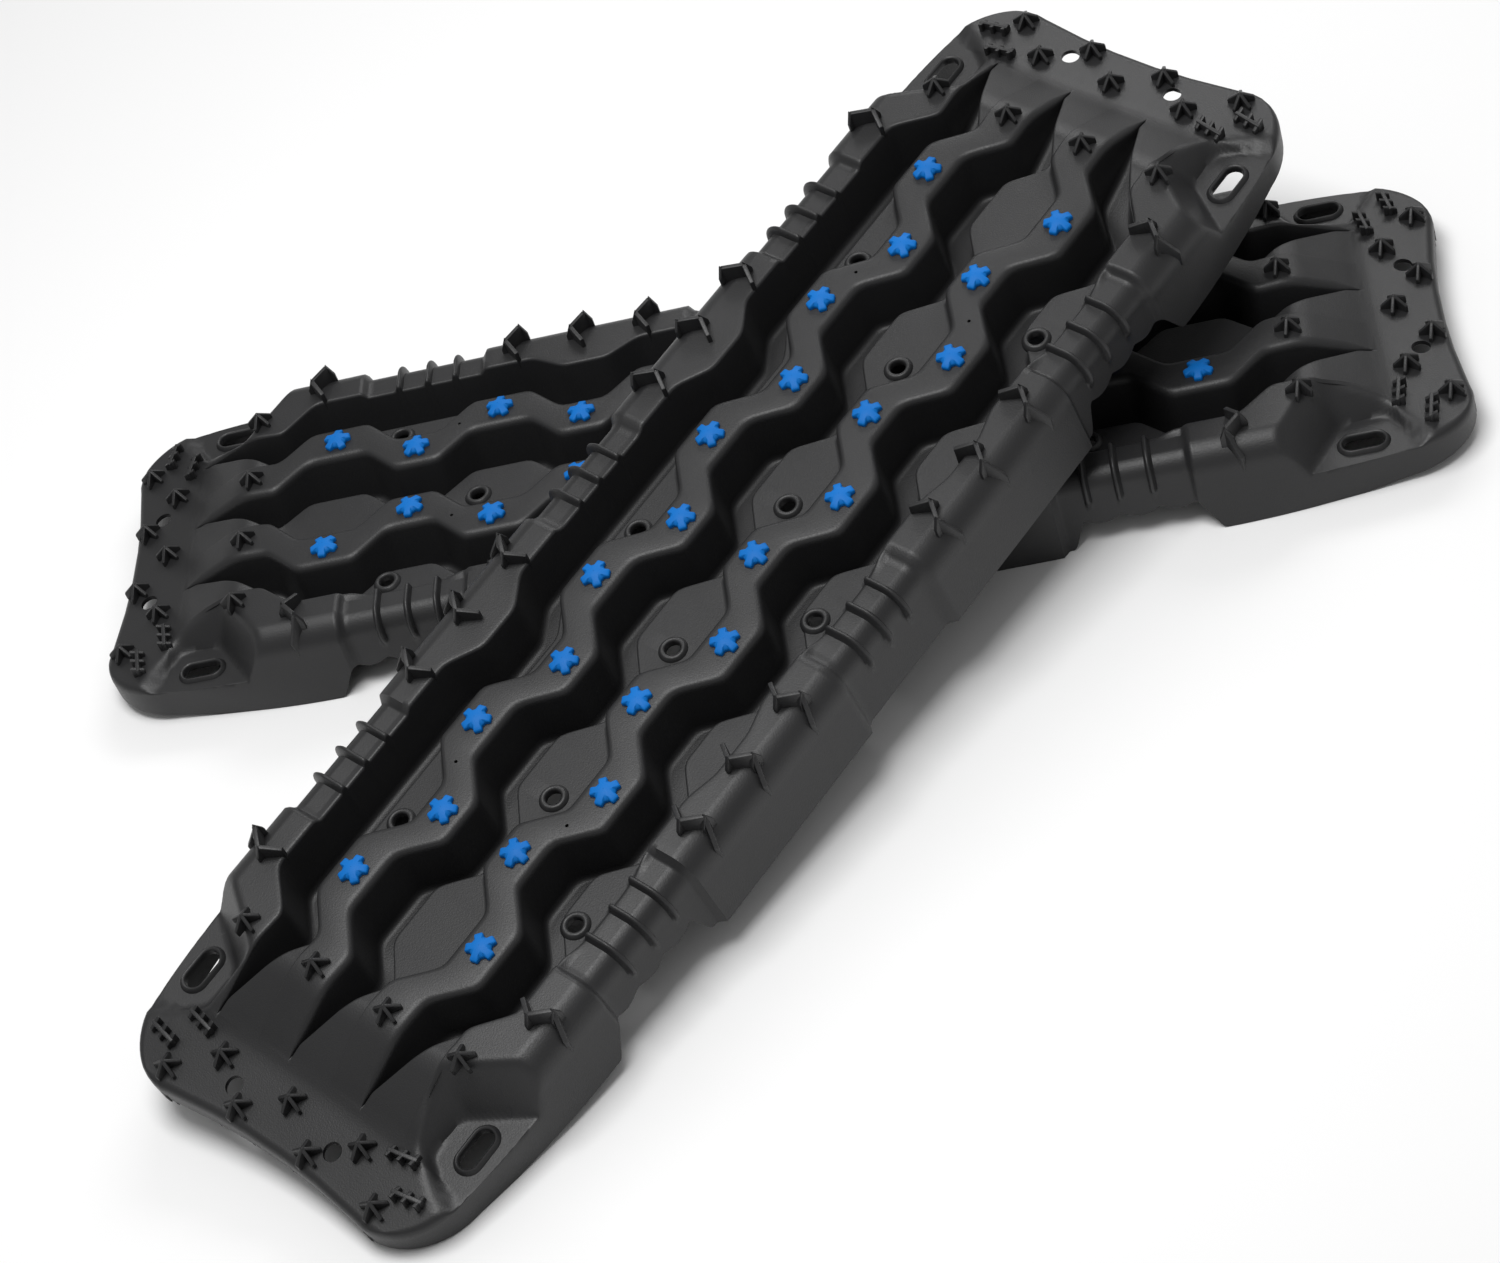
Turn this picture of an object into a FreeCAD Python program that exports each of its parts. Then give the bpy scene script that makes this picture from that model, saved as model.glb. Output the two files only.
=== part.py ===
"""A pair of vehicle traction mats, the upper one lying across the lower one.

Each mat is one hollow plastic moulding, open underneath, with two zigzag ridges between two side
rails, three deep zigzag grooves, lower platforms in the bends, four hand holds cut into the skirts
and a sloping plate at each end.  Twenty-two separate star studs are fixed through the ridges.
The mat's own frame: X along its length, Y across it, Z up, the floor at Z = 0.
"""
import FreeCAD
import Part
import math
import os

# ---------------------------------------------------------------- driving dimensions, millimetres
PITCH = 68.0                # distance along the mat from one stud to the next
HALF_LENGTH = 530.0
HALF_WIDTH = 158.5          # at the foot of the skirt
PLAN_SPARE = 5.0            # the straight sides of the plan outline stand this far off the skirt
TAPER_FROM_X = 330.0        # the sides are straight up to here, then close in
TAPER_END = (476.0, 147.0)
CORNER_MID = (512.5, 131.5)
CORNER_END_Y = 98.0
END_HOLLOW = 8.0            # the end edges curve inwards by this much
TOP_Z = 66.0                # ridge and rail tops
PLATFORM_Z = 53.0
GROOVE_Z = 18.0
WALL = 3.5                  # moulded wall thickness
WALL_SLOPE = 4.0 / 48.0     # draft of the groove and platform walls
ABOVE = 4.0                 # how far cutting solids stand above the top
BEYOND = 20.0               # how far other cutting solids reach past the mat

# zigzag edges, in pitches: level at odd and at even positions along the mat
RIDGE_OUTER = (1.14, 0.755)
RIDGE_INNER = (0.63, 0.25)
ODD_FLAT = 0.35             # half length of a flat stretch of an edge, in pitches
EVEN_FLAT = 0.27
GROOVE_WIDTH = 0.52
LEAST_OVERLAP = 0.01        # keeps a groove and the ridge beside it in touch where they meet
PLATFORM_START = 0.3        # a platform's outline starts this share of the way into its groove
LEFT_RAIL_EDGE = {0: -1.66, 1: -1.66, 2: -1.42, 3: -1.66, 4: -1.66, 5: -1.66, 6: -1.24}
RIGHT_RAIL_EDGE = {0: 1.70, 1: 1.64, 2: 1.74, 3: 1.64, 4: 1.70, 5: 1.64, 6: 1.30}
GROOVE_TIP_X = 6.75
GROOVE_TIP_Y = (-1.33, -0.31, 0.70)

# side profile of the rails
SHOULDER_Y = 132.0          # where the rail's flat top turns into the shoulder
SHOULDER_LOW = (150.5, 44.0)
SHOULDER_MID = (144.8, 59.0)
RECESS_DEPTH = 6.0          # the ribbed stretches of rail lie this much lower
RECESS_INNER_Y = 112.0
RECESS_RANGES = ((-4.75, -3.27), (-0.72, 0.72), (3.27, 4.75))
RIBS = ((-4.32, -3.96, -3.62), (-0.33, 0.0, 0.33), (3.62, 3.96, 4.32))
RIB_WIDTH = 5.0
RIB_END_Z = 40.0            # the ribs stop here on the shoulder

# end plates
RAMP_TOP_X = 6.15
RAMP_FOOT_X = 6.95
RAMP_FOOT_Z = 38.0
END_Z = 31.0
FLOOR_RISE_X = 5.6          # the groove floors climb from here to the end plate
END_LIFT_X = 6.5            # beyond this the foot of the skirt rises off the floor
END_LIFT_Z = 14.0           # height of the lifting line BEYOND the end

# holes
STUD_HOLE_R = 4.0
END_HOLE_R = 7.0
END_HOLE_X = 7.36
END_HOLE_Y = 0.69
SLOT_LENGTH = 31.0
SLOT_WIDTH = 14.5
SLOT_X = 6.57
SLOT_Y = 1.93
SLOT_RIM = 3.0              # width and height of the raised rims
POCKET_Z = 30.0
POCKET_PLAN = ((5.72, 2.62), (6.40, 1.58), (6.86, 1.58), (7.42, 2.50))   # of its floor
POCKET_FLARE = 25.0         # how far its walls lean outwards by the top
GROMMET_HOLE_R = 6.0
GROMMET_RIM_R = 10.0
GROMMETS = ([(x, 0.32) for x in (-2.73, -0.74, 1.26, 3.26)]
            + [(x, 1.45) for x in (-3.71, 0.27, 4.27)]
            + [(x, -0.95) for x in (-3.71, 0.27, 4.27)])
DRAIN_R = 1.3
DRAINS = [(sx * 3.49, sy * 0.765) for sx in (-1, 1) for sy in (-1, 1)]

# hand holds, cut into the skirt
HOLD_FOOT = (3.38, 4.98)    # along the mat at the floor, in pitches
HOLD_TOP = (3.52, 4.78)     # along the mat at the top of the cut
HOLD_Z = 24.0
HOLD_BUMP = 5.0             # depth of the finger bumps
HOLD_INNER_Y = 130.0        # the cut runs outwards from here
HOLD_REACH = 34.0

# webs under the moulding
WEB_X = (-374.0, -170.0, -34.0, 34.0, 170.0, 374.0)   # between the studs' flanges
WEB_THICK = 3.0

# cleats
RAIL_CLEAT_X = (1.2, 2.0, 2.8, 5.22)
RAIL_CLEAT_PATH = ((0.0, 1.66), (0.13, 1.86), (-0.03, 2.06), (0.10, 2.21))
RAIL_CLEAT_HEIGHTS = (8.0, 13.0, 13.0)   # above the rail, at the first three points
RAIL_CLEAT_END_Z = 57.0     # the wall's last leg runs down the shoulder to here
RAIL_CLEAT_FINS = ((1, 5.5), (2, 5.5), (2, -4.8))   # point of the path and reach along the mat
RAIL_CLEAT_FIN_HEIGHT = 18.0
RAIL_CLEAT_FIN_LOW = 3.0    # height of a fin's outer end
CLEAT_THICK = 3.4
FIN_THICK = 3.0
CLEAT_ROOT = 5.0            # how deep a cleat is rooted in the wall below it
CLEAT_TIP = 1.0             # height left at a star cleat's fin tips
STAR_CLEATS = ([(6.02, y) for y in (-1.5, -0.5, 0.5, 1.5)]
               + [(7.18, y) for y in (-0.97, 0.0, 0.97)]
               + [(7.58, y) for y in (-1.46, 1.46)] + [(7.52, y) for y in (-0.49, 0.49)])
STAR_CLEAT_R = 10.5
STAR_CLEAT_HEIGHT = 12.0
STAR_ARMS = 5
COMB_CLEATS = ((7.03, 1.42, 100.0), (7.33, 1.72, 100.0))   # x, y and heading in degrees
COMB_LENGTH = 24.0
COMB_HEIGHT = 7.0
COMB_FIN_PLACES = (-0.8, 0.0, 0.8)       # along the half length of the spine
COMB_FIN_REACH = 5.0
COMB_FIN_RISE = (2.0, -3.0)              # of a fin's two ends, over the spine

# studs
STUD_R = 11.0
STUD_CORE_R = 7.4
STUD_ARM_HALF = 3.2
STUD_TURN = (12.0, 48.0)    # degrees, on the +Y and on the -Y ridge
STUD_RIM_HEIGHT = 3.0
STUD_HEIGHT = 6.0
STUD_SHANK_R = 3.9
STUD_FLANGE_R = 6.0
STUD_FLANGE_HEIGHT = 2.0
STUD_GAP = 0.05
STUD_TOP_R = 3.5            # the head's level middle

# how the upper mat lies on the lower one
UPPER_YAW = 49.4            # degrees, seen from above
UPPER_CENTRE = (4.5, 201.0)  # of the upper mat's foot, from the lower mat's middle
CONTACT_Y = 141.8           # line along the lower rail where the cleat tips carry the upper mat
CLEARANCE = 0.4


# ------------------------------------------------------------------------------- plane geometry
def vec(x, y, z=0.0):
    return FreeCAD.Vector(x, y, z)


def offset(points, distance):
    """Move every side of a closed outline outwards (anticlockwise points) by a distance."""
    result = []
    count = len(points)
    for i in range(count):
        before, here, after = points[i - 1], points[i], points[(i + 1) % count]
        a = (here[0] - before[0], here[1] - before[1])
        b = (after[0] - here[0], after[1] - here[1])
        la, lb = math.hypot(*a), math.hypot(*b)
        na = (a[1] / la, -a[0] / la)
        nb = (b[1] / lb, -b[0] / lb)
        scale = distance / (1.0 + na[0] * nb[0] + na[1] * nb[1])
        result.append((here[0] + (na[0] + nb[0]) * scale, here[1] + (na[1] + nb[1]) * scale))
    return result


def wire(points, z):
    corners = [vec(x, y, z) for x, y in points]
    return Part.makePolygon(corners + corners[:1])


def drafted(points, low_z, low_offset, high_z, high_offset):
    """A closed outline lofted between two heights, with its own offset at each."""
    low = wire(offset(points, low_offset), low_z)
    high = wire(offset(points, high_offset), high_z)
    return Part.makeLoft([low, high], True, True)


def prism_along_x(points, x0, x1):
    """An outline given as (y, z) points, extruded along X."""
    corners = [vec(x0, y, z) for y, z in points]
    return Part.Face(Part.makePolygon(corners + corners[:1])).extrude(vec(x1 - x0, 0, 0))


def prism_along_y(points, half_width):
    """An outline given as (x, z) points, extruded across the mat."""
    corners = [vec(x, -half_width, z) for x, z in points]
    return Part.Face(Part.makePolygon(corners + corners[:1])).extrude(vec(0, 2 * half_width, 0))


def cylinder(x, y, radius, z0, z1):
    return Part.makeCylinder(radius, z1 - z0, vec(x, y, z0))


def obround(x, y, length, width, z0, z1):
    """A long hole with round ends, its length along X."""
    half = (length - width) / 2
    box = Part.makeBox(2 * half, width, z1 - z0, vec(x - half, y - width / 2, z0))
    ends = [cylinder(x + side * half, y, width / 2, z0, z1) for side in (-1, 1)]
    return box.fuse(ends).removeSplitter()


# ------------------------------------------------------------------------------- zigzag outlines
def zigzag(level, limit):
    """Points of a zigzag edge from -limit to +limit; level(k) gives its height at position k."""
    points = []
    for k in range(-6, 7):
        half = ODD_FLAT if k % 2 else EVEN_FLAT
        for x in (k - half, k + half):
            if abs(x) <= limit:
                points.append((x * PITCH, level(k) * PITCH))
    return points


def ridge_edge(levels, side):
    return lambda k: side * levels[0 if k % 2 else 1]


def rail_edge(levels):
    return lambda k: levels[abs(k)]


GAPS = (
    (rail_edge(LEFT_RAIL_EDGE), ridge_edge(RIDGE_OUTER, -1)),
    (ridge_edge(RIDGE_INNER, -1), ridge_edge(RIDGE_INNER, 1)),
    (ridge_edge(RIDGE_OUTER, 1), rail_edge(RIGHT_RAIL_EDGE)),
)


def groove_outline(left, right, tip_y):
    """The groove keeps to its left-hand neighbour and narrows to a point at both ends."""
    def far_side(k):
        return min(left(k) + GROOVE_WIDTH, right(k) + LEAST_OVERLAP)
    tip = GROOVE_TIP_X * PITCH
    near = [(-tip, tip_y * PITCH)] + zigzag(left, 6.1) + [(tip, tip_y * PITCH)]
    return near + zigzag(far_side, 6.0)[::-1]


def platform_outline(left, right):
    def inside_groove(k):
        return left(k) + GROOVE_WIDTH * PLATFORM_START
    return zigzag(inside_groove, 6.0) + zigzag(right, 6.0)[::-1]


def anticlockwise(points):
    area = sum(a[0] * b[1] - b[0] * a[1] for a, b in zip(points, points[1:] + points[:1]))
    return points if area > 0 else points[::-1]


# ------------------------------------------------------------------------------- the moulding
def side_profile(inset):
    """Half of the mat's cross-section, from the centre line out to the foot of the skirt."""
    low_y, low_z = SHOULDER_LOW
    mid_y, mid_z = SHOULDER_MID
    top = TOP_Z - inset
    arc = Part.Arc(vec(0, SHOULDER_Y - inset / 2, top), vec(0, mid_y - 0.8 * inset, mid_z - 0.6 * inset),
                   vec(0, low_y - inset, low_z))
    return [(p.y, p.z) for p in arc.discretize(7)] + [(HALF_WIDTH - inset, -1.0)]


def slab(inset):
    """The mat as one solid block with rounded shoulders, cut to its plan outline and end slopes."""
    half = side_profile(inset)
    section = half + [(-y, z) for y, z in half[::-1]]
    block = prism_along_x(section, -HALF_LENGTH - BEYOND, HALF_LENGTH + BEYOND)
    return block.common(plan_prism(inset)).common(end_slopes(inset))


def plan_prism(inset):
    """The plan outline: straight sides, tapered ends, round corners and hollow end edges."""
    side, end = HALF_WIDTH + PLAN_SPARE - inset, HALF_LENGTH - inset
    taper_y = TAPER_END[1] - inset
    corner = [value - inset for value in CORNER_MID]
    edges = []
    for sx in (1, -1):
        p = [vec(sx * TAPER_FROM_X, -sx * side), vec(sx * TAPER_END[0], -sx * taper_y),
             vec(sx * corner[0], -sx * corner[1]), vec(sx * end, -sx * CORNER_END_Y),
             vec(sx * (end - END_HOLLOW), 0), vec(sx * end, sx * CORNER_END_Y),
             vec(sx * corner[0], sx * corner[1]), vec(sx * TAPER_END[0], sx * taper_y),
             vec(sx * TAPER_FROM_X, sx * side)]
        edges += [Part.makeLine(p[0], p[1]), Part.Arc(p[1], p[2], p[3]).toShape(),
                  Part.Arc(p[3], p[4], p[5]).toShape(), Part.Arc(p[5], p[6], p[7]).toShape(),
                  Part.makeLine(p[7], p[8]), Part.makeLine(p[8], vec(-sx * TAPER_FROM_X, sx * side))]
    face = Part.Face(Part.Wire(Part.__sortEdges__(edges)))
    face.translate(vec(0, 0, -2))
    return face.extrude(vec(0, 0, TOP_Z + BEYOND))


def end_slopes(inset):
    """The length-wise profile: level, then a ramp down to the end plates."""
    right = [(RAMP_TOP_X * PITCH - inset / 3, TOP_Z - inset),
             (RAMP_FOOT_X * PITCH - inset / 3, RAMP_FOOT_Z - inset),
             (HALF_LENGTH + ABOVE, END_Z - inset), (HALF_LENGTH + ABOVE, -2)]
    return prism_along_y(right + [(-x, z) for x, z in right[::-1]], HALF_WIDTH + BEYOND)


def groove_floor(drop):
    """Everything above the groove floors, which climb towards the ends."""
    right = [(FLOOR_RISE_X * PITCH, GROOVE_Z - drop), ((GROOVE_TIP_X + 0.15) * PITCH, RAMP_FOOT_Z + 3 - drop),
             (HALF_LENGTH, RAMP_FOOT_Z + 3 - drop), (HALF_LENGTH, TOP_Z + BEYOND)]
    return prism_along_y([(-x, z) for x, z in right[::-1]] + right, HALF_WIDTH)


def hollows(grow):
    """The grooves and platforms, grown by a wall thickness when they shape the inside."""
    solids = []
    high = TOP_Z + ABOVE
    for (left, right), tip_y in zip(GAPS, GROOVE_TIP_Y):
        groove = anticlockwise(groove_outline(left, right, tip_y))
        low_offset = grow - WALL_SLOPE * (TOP_Z - GROOVE_Z)
        cut = drafted(groove, GROOVE_Z - WALL, low_offset, high, grow + WALL_SLOPE * ABOVE)
        solids.append(cut.common(groove_floor(grow)))
        platform = anticlockwise(platform_outline(left, right))
        low_offset = grow - WALL_SLOPE * (TOP_Z - PLATFORM_Z)
        solids.append(drafted(platform, PLATFORM_Z - grow, low_offset, high, grow + WALL_SLOPE * ABOVE))
    return solids


def corner_pockets(grow):
    """The four open corners where the tie-down slots are."""
    solids = []
    for sx in (-1, 1):
        for sy in (-1, 1):
            points = anticlockwise([(sx * x * PITCH, sy * y * PITCH) for x, y in POCKET_PLAN])
            solids.append(drafted(points, POCKET_Z - grow, grow, TOP_Z + ABOVE, grow + POCKET_FLARE))
    return solids


def rail_recesses(grow):
    """What the ribbed stretches lose: a thin layer off the rail's top, shoulder and skirt."""
    profile = side_profile(RECESS_DEPTH + grow)
    outside = [(HALF_WIDTH + ABOVE, -1.0), (HALF_WIDTH + ABOVE, TOP_Z + ABOVE),
               (RECESS_INNER_Y - grow, TOP_Z + ABOVE),
               (RECESS_INNER_Y - grow, TOP_Z - RECESS_DEPTH - grow)]
    solids = []
    for (start, stop), ribs in zip(RECESS_RANGES, RIBS):
        x0, x1 = start * PITCH - grow, stop * PITCH + grow
        cut = prism_along_x(profile + outside, x0, x1)
        if grow == 0:
            for rib in ribs:
                corner = vec(rib * PITCH - RIB_WIDTH / 2, 0, RIB_END_Z)
                cut = cut.cut(Part.makeBox(RIB_WIDTH, HALF_WIDTH + BEYOND, TOP_Z, corner))
        solids.append(cut)
        solids.append(cut.mirror(vec(0, 0, 0), vec(0, 1, 0)))
    return solids


def webs():
    """Stiffening walls across the underside, level with the foot of the skirt."""
    corners = [vec(x - WEB_THICK / 2, -HALF_WIDTH, -ABOVE) for x in WEB_X]
    return [Part.makeBox(WEB_THICK, 2 * HALF_WIDTH, TOP_Z + BEYOND, corner) for corner in corners]


def lift_ends():
    """Wedges that raise the foot of the skirt under both end plates."""
    solids = []
    for sx in (-1, 1):
        start, end = sx * END_LIFT_X * PITCH, sx * (HALF_LENGTH + BEYOND)
        points = [(start, -ABOVE), (end, -ABOVE), (end, END_LIFT_Z), (start, 0.0)]
        solids.append(prism_along_y(points, HALF_WIDTH + BEYOND))
    return solids


def hand_hold(sx, sy):
    """One cut in the skirt, sloped at both ends, with three bumps along its upper edge."""
    foot0, foot1 = (value * PITCH for value in HOLD_FOOT)
    top0, top1 = (value * PITCH for value in HOLD_TOP)
    step = (top1 - top0) / 3
    start = vec(top0, 0, HOLD_Z)
    edges = [Part.makeLine(vec(foot0, 0, -2), start)]
    for i in range(3):
        stop = vec(top0 + (i + 1) * step, 0, HOLD_Z)
        middle = vec(top0 + (i + 0.5) * step, 0, HOLD_Z - HOLD_BUMP)
        edges.append(Part.Arc(start, middle, stop).toShape())
        start = stop
    edges += [Part.makeLine(start, vec(foot1, 0, -2)), Part.makeLine(vec(foot1, 0, -2), vec(foot0, 0, -2))]
    solid = Part.Face(Part.Wire(edges)).extrude(vec(0, HOLD_REACH, 0))
    solid.translate(vec(0, HOLD_INNER_Y, 0))
    if sy < 0:
        solid = solid.mirror(vec(0, 0, 0), vec(0, 1, 0))
    if sx < 0:
        solid = solid.mirror(vec(0, 0, 0), vec(1, 0, 0))
    return solid


def stud_places():
    """Centres of the studs: they follow the middle of each zigzag ridge."""
    places = []
    for side in (-1, 1):
        for k in range(-5, 6):
            parity = 0 if k % 2 else 1
            places.append((k * PITCH, side * PITCH * (RIDGE_OUTER[parity] + RIDGE_INNER[parity]) / 2))
    return places


def surface_z(x):
    """Height of the uncut top surface at a distance from the middle."""
    x = abs(x) / PITCH
    if x < RAMP_TOP_X:
        return TOP_Z
    if x < RAMP_FOOT_X:
        return TOP_Z + (RAMP_FOOT_Z - TOP_Z) * (x - RAMP_TOP_X) / (RAMP_FOOT_X - RAMP_TOP_X)
    end = HALF_LENGTH / PITCH
    return RAMP_FOOT_Z + (END_Z - RAMP_FOOT_Z) * (x - RAMP_FOOT_X) / (end - RAMP_FOOT_X)


# ------------------------------------------------------------------------------- cleats
def plate(start, stop, foot_z, top0, top1, thick):
    """An upright plate between two plan points, with its own top height at each."""
    direction = vec(stop[0] - start[0], stop[1] - start[1])
    side = vec(-direction.y, direction.x).normalize() * thick
    corners = [vec(start[0], start[1], foot_z), vec(stop[0], stop[1], foot_z),
               vec(stop[0], stop[1], top1), vec(start[0], start[1], top0)]
    corners = [c - side * 0.5 for c in corners]
    return Part.Face(Part.makePolygon(corners + corners[:1])).extrude(side)


def rail_cleat(x, sx, sy):
    """A zigzag wall across the rail, with a fin at each bend."""
    points = [(sx * (x + dx) * PITCH, sy * y * PITCH) for dx, y in RAIL_CLEAT_PATH]
    tops = [TOP_Z + height for height in RAIL_CLEAT_HEIGHTS] + [RAIL_CLEAT_END_Z]
    solids = [plate(points[i], points[i + 1], SHOULDER_LOW[1], tops[i], tops[i + 1], CLEAT_THICK)
              for i in range(3)]
    for bend, reach in RAIL_CLEAT_FINS:
        tip = (points[bend][0] + sx * reach, points[bend][1])
        solids.append(plate(points[bend], tip, RAIL_CLEAT_END_Z, TOP_Z + RAIL_CLEAT_FIN_HEIGHT,
                            TOP_Z + RAIL_CLEAT_FIN_LOW, FIN_THICK))
    return solids


def star_cleat(x, y):
    """Upright fins about a centre, falling away to their tips."""
    z = surface_z(x)
    solids = []
    for arm in range(STAR_ARMS):
        angle = 2 * math.pi * arm / STAR_ARMS
        tip = (x + STAR_CLEAT_R * math.cos(angle), y + STAR_CLEAT_R * math.sin(angle))
        solids.append(plate((x, y), tip, z - CLEAT_ROOT, z + STAR_CLEAT_HEIGHT, z + CLEAT_TIP,
                            FIN_THICK))
    return solids


def comb_cleat(x, y, heading):
    """A low spine with three fins across it."""
    z = surface_z(x)
    c, s = math.cos(math.radians(heading)), math.sin(math.radians(heading))
    half = COMB_LENGTH / 2
    solids = [plate((x - c * half, y - s * half), (x + c * half, y + s * half), z - CLEAT_ROOT,
                    z + COMB_HEIGHT, z + COMB_HEIGHT, FIN_THICK)]
    high, low = [z + COMB_HEIGHT + rise for rise in COMB_FIN_RISE]
    for along in COMB_FIN_PLACES:
        px, py = x + c * half * along, y + s * half * along
        start = (px + s * COMB_FIN_REACH, py - c * COMB_FIN_REACH)
        stop = (px - s * COMB_FIN_REACH, py + c * COMB_FIN_REACH)
        solids.append(plate(start, stop, z - CLEAT_ROOT, high, low, FIN_THICK))
    return solids


def all_cleats():
    solids = []
    for sx in (-1, 1):
        for sy in (-1, 1):
            for x in RAIL_CLEAT_X:
                solids += rail_cleat(x, sx, sy)
            for x, y, heading in COMB_CLEATS:
                solids += comb_cleat(sx * x * PITCH, sy * y * PITCH, sx * sy * heading)
        for x, y in STAR_CLEATS:
            solids += star_cleat(sx * x * PITCH, y * PITCH)
    return solids


# ------------------------------------------------------------------------------- assembly of a mat
def moulding():
    outside = slab(0.0).cut(hollows(0.0) + corner_pockets(0.0) + rail_recesses(0.0))
    inside = slab(WALL).cut(hollows(WALL) + corner_pockets(WALL) + rail_recesses(WALL) + webs())
    shell = outside.cut(inside)
    rims = [cylinder(x * PITCH, y * PITCH, GROMMET_RIM_R, PLATFORM_Z - 2, PLATFORM_Z + SLOT_RIM)
            for x, y in GROMMETS]
    rims += [obround(sx * SLOT_X * PITCH, sy * SLOT_Y * PITCH, SLOT_LENGTH + 2 * SLOT_RIM,
                     SLOT_WIDTH + 2 * SLOT_RIM, POCKET_Z - 2, POCKET_Z + SLOT_RIM)
             for sx in (-1, 1) for sy in (-1, 1)]
    shell = shell.fuse(rims + all_cleats())
    corner = vec(-HALF_LENGTH - BEYOND, -HALF_WIDTH - BEYOND, -BEYOND)
    floor = Part.makeBox(2 * (HALF_LENGTH + BEYOND), 2 * (HALF_WIDTH + BEYOND), BEYOND, corner)
    cuts = [floor] + lift_ends() + [hand_hold(sx, sy) for sx in (-1, 1) for sy in (-1, 1)]
    cuts += [cylinder(x, y, STUD_HOLE_R, PLATFORM_Z, TOP_Z + ABOVE) for x, y in stud_places()]
    cuts += [cylinder(x * PITCH, y * PITCH, GROMMET_HOLE_R, GROOVE_Z, TOP_Z + ABOVE) for x, y in GROMMETS]
    cuts += [cylinder(x * PITCH, y * PITCH, DRAIN_R, PLATFORM_Z, TOP_Z + ABOVE) for x, y in DRAINS]
    for sx in (-1, 1):
        for sy in (-1, 1):
            cuts.append(cylinder(sx * END_HOLE_X * PITCH, sy * END_HOLE_Y * PITCH, END_HOLE_R, 0, TOP_Z))
            cuts.append(obround(sx * SLOT_X * PITCH, sy * SLOT_Y * PITCH, SLOT_LENGTH, SLOT_WIDTH, 0, TOP_Z))
    shell = shell.cut(cuts)
    return max(shell.Solids, key=lambda solid: solid.Volume)


def stud():
    """A five-armed star head, a round shank and the flange that holds it under the ridge."""
    outline = []
    for arm in range(STAR_ARMS):
        angle = 2 * math.pi * arm / STAR_ARMS
        c, s = math.cos(angle), math.sin(angle)
        for along, across in ((STUD_CORE_R, -STUD_ARM_HALF), (STUD_R, -STUD_ARM_HALF),
                              (STUD_R, STUD_ARM_HALF), (STUD_CORE_R, STUD_ARM_HALF)):
            outline.append((along * c - across * s, along * s + across * c))
    head = Part.Face(wire(outline, TOP_Z + STUD_GAP)).extrude(vec(0, 0, STUD_HEIGHT))
    reach = math.hypot(STUD_R, STUD_ARM_HALF) + WALL_SLOPE
    cone = Part.makeCone(reach, STUD_TOP_R, STUD_HEIGHT - STUD_RIM_HEIGHT, vec(0, 0, TOP_Z + STUD_RIM_HEIGHT))
    head = head.common(cone.fuse(cylinder(0, 0, reach, TOP_Z, TOP_Z + STUD_RIM_HEIGHT)))
    under = TOP_Z - WALL - STUD_GAP
    shank = cylinder(0, 0, STUD_SHANK_R, under - 1, TOP_Z + 1)
    flange = cylinder(0, 0, STUD_FLANGE_R, under - STUD_FLANGE_HEIGHT, under)
    return head.fuse([shank, flange]).removeSplitter()


def lowest(points, placement):
    return min(placement.multVec(point).z for point in points)


def upper_placement(points):
    """The upper mat lies on the lower rail's cleat tips, tilted until its lowest corner meets the floor."""
    cx, cy = UPPER_CENTRE
    carried_z = TOP_Z + RAIL_CLEAT_FIN_HEIGHT + CLEARANCE
    yaw = FreeCAD.Rotation(vec(0, 0, 1), UPPER_YAW)
    low, high = 0.0, 30.0
    for _ in range(30):
        tilt = (low + high) / 2
        rotation = FreeCAD.Rotation(vec(1, 0, 0), -tilt).multiply(yaw)
        height = carried_z - math.tan(math.radians(tilt)) * (cy - CONTACT_Y)
        placement = FreeCAD.Placement(vec(cx, cy, height), rotation)
        if lowest(points, placement) > 0:
            low = tilt
        else:
            high = tilt
    return placement


def centred(placements, points):
    """Move both mats so that the origin lies under the middle of the pair."""
    xs = [p.multVec(point).x for p in placements.values() for point in points]
    ys = [p.multVec(point).y for p in placements.values() for point in points]
    move = FreeCAD.Placement(vec(-(min(xs) + max(xs)) / 2, -(min(ys) + max(ys)) / 2), FreeCAD.Rotation())
    return {name: move.multiply(p) for name, p in placements.items()}


def main():
    os.makedirs("parts", exist_ok=True)
    shell = moulding()
    if not shell.isValid():
        raise ValueError("the moulding is not a valid solid")
    points, _ = shell.tessellate(0.2)
    placements = {"lower": FreeCAD.Placement(), "upper": upper_placement(points)}
    one_stud = stud()
    for name, placement in centred(placements, points).items():
        shape = shell.copy()
        shape.Placement = placement
        shape.exportStep("parts/%s_mat_shell.step" % name)
        for number, (x, y) in enumerate(stud_places(), 1):
            turn = FreeCAD.Rotation(vec(0, 0, 1), STUD_TURN[0 if y > 0 else 1])
            shape = one_stud.copy()
            shape.Placement = placement.multiply(FreeCAD.Placement(vec(x, y), turn))
            shape.exportStep("parts/%s_stud_%02d.step" % (name, number))


main()
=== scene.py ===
"""Looks for a pair of moulded traction mats with blue star studs, one mat lying across the other.

Each mat is built once in its own frame, in millimetres: X along it, Y across it, Z up from its foot.
Its skin is a row of cross-sections along X, so that its edges are real rounded edges.
"""

import math

import bmesh
import bpy
import numpy as np
from mathutils import Matrix, Vector


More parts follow.
